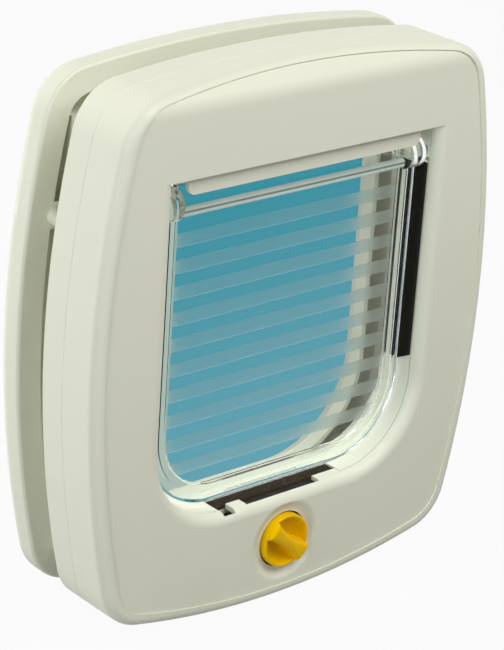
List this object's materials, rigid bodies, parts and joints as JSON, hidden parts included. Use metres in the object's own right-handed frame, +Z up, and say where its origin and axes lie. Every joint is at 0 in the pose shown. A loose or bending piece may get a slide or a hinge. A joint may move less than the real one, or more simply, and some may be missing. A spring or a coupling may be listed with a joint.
{
  "type": "cat flap",
  "caption": "Cat flap for a door: bulged room-side frame, clear striped flap on a top hinge, turn knob that raises stops before or behind the flap, and a frame for the outer face.",
  "frame": {"origin": "centre of the frame's outline on the door face that looks into the room", "axes": "+X right as seen from the room, +Y out through the door, +Z up"},
  "size_m": [0.225, 0.0716, 0.252],
  "materials": {
    "cream_plastic": "cream moulded plastic, satin",
    "clear_plastic": "clear moulded acrylic, polished",
    "frosted_band": "frosted bands on the pane",
    "black_felt": "short black pile",
    "brown_felt": "short brown-black pile",
    "yellow_plastic": "yellow moulded plastic, semi-gloss",
    "dark_plastic": "black moulded plastic",
    "zinc_steel": "zinc-plated steel"
  },
  "bodies": {
    "frame": {"front_cover": "cream_plastic", "base_frame": "cream_plastic", "outside_frame": "cream_plastic", "hinge_cap_left": "cream_plastic", "hinge_cap_right": "cream_plastic", "hinge_screws": "zinc_steel", "draught_strip_left": "black_felt", "draught_strip_right": "black_felt", "draught_strip_sill": "brown_felt", "lock_housing": "cream_plastic", "housing_screws": "zinc_steel", "fixing_screws": "zinc_steel"},
    "flap": {"flap_pane": "clear_plastic", "flap_stripes": "frosted_band"},
    "knob": {"lock_knob": "yellow_plastic", "lock_spindle": "dark_plastic", "spindle_washer": "zinc_steel", "spindle_screw": "zinc_steel"},
    "inner_stop": {"front_lock_slider": "dark_plastic"},
    "outer_stop": {"rear_lock_slider": "dark_plastic"}
  },
  "joints": [
    {"name": "flap_swing", "type": "hinge", "parent": "frame", "child": "flap", "pos_m": [0, -0.0218, 0.07], "axis": [1, 0, 0], "range_deg": [-85, 85]},
    {"name": "knob_turn", "type": "hinge", "parent": "frame", "child": "knob", "pos_m": [0, -0.0218, -0.0987], "axis": [0, 1, 0], "range_deg": [-72, 72]},
    {"name": "inner_stop_lift", "type": "slide", "parent": "frame", "child": "inner_stop", "axis": [0, 0, 1], "range_m": [-0.00628, 0.00628]},
    {"name": "outer_stop_lift", "type": "slide", "parent": "frame", "child": "outer_stop", "axis": [0, 0, 1], "range_m": [-0.00628, 0.00628]}
  ],
  "couplings": [
    {"joint": "inner_stop_lift", "follows": "knob_turn", "m_per_rad": -0.005},
    {"joint": "outer_stop_lift", "follows": "knob_turn", "m_per_rad": 0.005}
  ]
}
